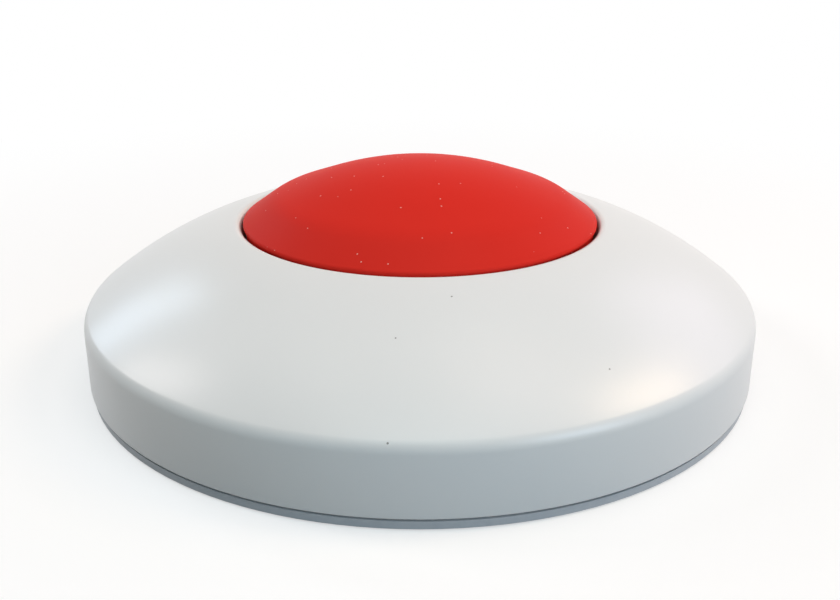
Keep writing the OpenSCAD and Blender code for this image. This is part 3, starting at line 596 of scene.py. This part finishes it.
inner_end = (crown_end[0] - cap_t * math.sin(crown_slope), crown_end[1] - cap_t * math.cos(crown_slope))
bend = (flank_slope - crown_slope) / 2
inner_shoulder = (
    crown_r - cap_t / math.cos(bend) * math.sin(crown_slope + bend),
    shoulder_z - cap_t / math.cos(bend) * math.cos(crown_slope + bend),
)
shoulder = (crown_r, shoulder_z)
edge = (cap_r, edge_z)
under_cup = (cup_out, under_crown(cup_out, cap_t))
cap_feet = [(skirt_r, skirt_z), (skirt_out, skirt_z)]
cap_lip = [(skirt_out, lip_z), (cap_r, lip_z)]
stem_foot = (stem_r, stem_z)
cup_lip = [(cup_r, cup_z), (cup_out, cup_z)]
cap_outline = [(0, stem_z), stem_foot, (stem_r, seat_z), (cup_r, seat_z), *cup_lip, under_cup]
cap_outline += sweep(crown_o, under_cup, inner_end, 6)
cap_outline += [inner_shoulder, (skirt_r, under_flank(skirt_r, cap_t)), *cap_feet, *cap_lip]
cap_outline += [edge, shoulder, crown_end]
cap_outline += sweep(crown_o, crown_end, (0, apex_z), 40)
foot_break = 0.25 * MM
lip_break = 0.05 * MM
red_cap = draw_outline("red_cap", cap_outline, False)
soften(red_cap, [shoulder], shoulder_round * math.tan(bend), 10)
soften(red_cap, [edge], edge_run, 10)
soften(red_cap, cap_feet + cup_lip + [stem_foot], foot_break, 3)
soften(red_cap, [cap_lip[1]], lip_break, 2)
turn_round(red_cap)

rib_t = 1.2 * MM
cap_ribs = 6
cap_rib_drop = 1 * MM
cap_rib_low = edge_z - cap_rib_drop
cap_rib_in = (cup_r + cup_out) / 2
cap_rib_out = (skirt_r + skirt_out) / 2
cap_rib_outline = [
    (cap_rib_in, cap_rib_low),
    (cap_rib_out, cap_rib_low),
    (cap_rib_out, under_flank(cap_rib_out, cap_t / 2)),
    (crown_r, under_flank(crown_r, cap_t / 2)),
    (cap_rib_in, under_crown(cap_rib_in, cap_t / 2)),
]
leg_angles = (90, 210, 330)
leg_width = 7 * MM
leg_t = 1.4 * MM
leg_gap = 0.5 * MM
leg_out = skirt_r - leg_gap
leg_in = leg_out - leg_t
barb_reach = 1.1 * MM
barb_h = 1.6 * MM
barb_gap = 0.2 * MM
barb = leg_out + barb_reach
ledge = floor_z - barb_gap
leg_outline = [
    (leg_in, ledge - barb_h),
    (leg_out, ledge - barb_h),
    (barb, ledge - barb_h / 3),
    (barb, ledge),
    (leg_out, ledge),
    (leg_out, under_flank(leg_out, cap_t / 2)),
    (leg_in, under_flank(leg_in, cap_t / 2)),
]
rib_angles = [360 / cap_ribs * i for i in range(cap_ribs)]
work(red_cap, [plate("cap_rib", cap_rib_outline, rib_t, a) for a in rib_angles], "UNION")
work(red_cap, [plate("cap_leg", leg_outline, leg_width, a) for a in leg_angles], "UNION")
sharp_from = math.radians(35)
bpy.ops.object.shade_smooth_by_angle(angle=sharp_from)

red_plastic, shader, places = new_finish("red_plastic", Specular_IOR_Level=0.025)
cloud = noise(places, 70, 3)
grain = noise(places, 4600, 3)
clean_red = cloud.mixed((0.735, 0.027, 0.018, 1), (0.765, 0.034, 0.022, 1))
lead(specks(places, 560, 0.11 * MM, 0.8).mixed(clean_red, (0.85, 0.45, 0.40, 1)), shader, "Base Color")
lead(0.40 + cloud * 0.08 + grain * 0.05, shader, "Roughness")
lead(bump(places, grain, 0.0008 * MM), shader, "Normal")
red_cap.data.materials.append(red_plastic)
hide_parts("button_cap")
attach(red_cap, "button")


# Cover: white moulded shell with a low side wall, a round rim and a bowed top that dips into a sunk
# well for the button. The well's floor has a guide tube and three slots for the button's legs, and four
# catches inside the wall snap under the hooks of the base.
cover_low, cover_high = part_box("top_cover")
wall_foot = (cover_high.x, cover_low.z)
rim_corner = (50 * MM, 10.70 * MM)
hole_corner = (26.8 * MM, 22.26 * MM)
slope_bow = 1.46 * MM
rim_round = 2.2 * MM
hole_round = 0.85 * MM
cover_t = 2.2 * MM
well_t = 1.8 * MM
well_r = hole_corner[0] + well_t
inner_r = rim_corner[0] - cover_t
bore_r = 4.3 * MM
tube_r = 6 * MM
tube_h = 5.6 * MM
tube_top = floor_top + tube_h
chord = Vector(hole_corner) - Vector(rim_corner)
slope_r = (chord.length ** 2 / 4 + slope_bow ** 2) / (2 * slope_bow)
slope_o = (Vector(rim_corner) + Vector(hole_corner)) / 2
slope_o += Vector((-chord.y, chord.x)).normalized() * (slope_r - slope_bow)


def under_slope(r, depth):
    """Height under the bowed top at a radius, a depth below its skin."""
    return slope_o.y + math.sqrt((slope_r - depth) ** 2 - (r - slope_o.x) ** 2)


wall_up = (Vector(rim_corner) - Vector(wall_foot)).normalized()
wall_in = Vector((-wall_up.y, wall_up.x))
rim_inset = Vector(rim_corner) + wall_in * rim_round - slope_o
rim_along = rim_inset.dot(wall_up)
rim_reach = math.sqrt(rim_along ** 2 - rim_inset.length_squared + (slope_r - rim_round) ** 2)
rim_o = slope_o + rim_inset + wall_up * (rim_reach - rim_along)
rim_start = rim_o - wall_in * rim_round
rim_end = slope_o + (rim_o - slope_o).normalized() * slope_r
hole_mid = hole_corner[0] + hole_round
hole_o = Vector((hole_mid, under_slope(hole_mid, hole_round)))
hole_start = slope_o + (hole_o - slope_o).normalized() * slope_r
hole_end = (hole_corner[0], hole_o.y)
under_well = (well_r, under_slope(well_r, cover_t))
under_rim = (inner_r, under_slope(inner_r, cover_t))
wall_inside = (inner_r, cover_low.z)
tube_lip = [(tube_r, tube_top), (bore_r, tube_top)]
cover_outline = [wall_foot, tuple(rim_start), *sweep(rim_o, rim_start, rim_end, 14)]
cover_outline += sweep(slope_o, rim_end, hole_start, 40)
cover_outline += sweep(hole_o, hole_start, hole_end, 12)
cover_outline += [(hole_corner[0], floor_top), (tube_r, floor_top), *tube_lip]
cover_outline += [(bore_r, floor_z), (well_r, floor_z), under_well]
cover_outline += sweep(slope_o, under_well, under_rim, 16)
cover_outline += [wall_inside]
cover_break = 0.15 * MM
white_cover = draw_outline("white_cover", cover_outline, True)
soften(white_cover, [wall_foot, wall_inside] + tube_lip, cover_break, 3)
turn_round(white_cover)

cover_ribs = 8
cover_rib_in = (hole_corner[0] + well_r) / 2
cover_rib_out = slope_o.x + math.sqrt((slope_r - cover_t / 2) ** 2 - (floor_z - slope_o.y) ** 2)
cover_rib_foot = (cover_rib_out, floor_z)
cover_rib_top = (cover_rib_in, under_slope(cover_rib_in, cover_t / 2))
cover_rib_outline = [(cover_rib_in, floor_z), cover_rib_foot]
cover_rib_outline += sweep(slope_o, cover_rib_foot, cover_rib_top, 8)
rib_angles = [360 / cover_ribs * (i + 0.5) for i in range(cover_ribs)]
work(white_cover, [plate("cover_rib", cover_rib_outline, rib_t, a) for a in rib_angles], "UNION")

catch_angles = (0, 90, 180, 270)
catch_half_width = 7 * MM
catch_z = 5.2 * MM
catch_slope_h = 0.6 * MM
catch_h = 1 * MM
catch_reach = 0.9 * MM
catch_sunk = 0.4 * MM
catch_in = inner_r - catch_reach
catch_root = inner_r + catch_sunk
catch_outline = [
    (catch_root, catch_z),
    (inner_r, catch_z),
    (catch_in, catch_z + catch_slope_h),
    (catch_in, catch_z + catch_h),
    (catch_root, catch_z + catch_h),
]
catch_sweep = 2 * math.asin(catch_half_width / inner_r)


def catch(angle):
    """A ledge inside the wall, at an angle in degrees, that a hook of the base snaps over."""
    piece = draw_outline("catch", catch_outline, True)
    bpy.ops.mesh.select_all(action="SELECT")
    bpy.ops.mesh.edge_face_add()
    bpy.ops.mesh.spin(steps=8, angle=catch_sweep, center=(0, 0, 0), axis=(0, 0, 1))
    return set_at(close_up(piece), angle)


work(white_cover, [catch(a) for a in catch_angles], "UNION")

slot_width = 8 * MM
bend_room = 1.6 * MM
slot_gap = 0.5 * MM
cut_past = 1 * MM
slot_in = leg_in - bend_room
slot_out = leg_out + slot_gap
slot_outline = [
    (slot_in, floor_z - cut_past),
    (slot_out, floor_z - cut_past),
    (slot_out, floor_top + cut_past),
    (slot_in, floor_top + cut_past),
]
work(white_cover, [plate("leg_slot", slot_outline, slot_width, a) for a in leg_angles], "DIFFERENCE")
bpy.ops.object.shade_smooth_by_angle(angle=sharp_from)

white_plastic, shader, places = new_finish("white_plastic", Specular_IOR_Level=0.5)
cloud = noise(places, 45)
grain = noise(places, 5200, 3)
clean_white = cloud.mixed((0.800, 0.805, 0.795, 1), (0.830, 0.833, 0.825, 1))
lead(specks(places, 280, 0.13 * MM, 0.22).mixed(clean_white, (0.25, 0.24, 0.23, 1)), shader, "Base Color")
lead(0.28 + cloud * 0.04 + grain * 0.03, shader, "Roughness")
lead(bump(places, grain, 0.0005 * MM), shader, "Normal")
white_cover.data.materials.append(white_plastic)
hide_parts("top_cover")
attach(white_cover, "housing")
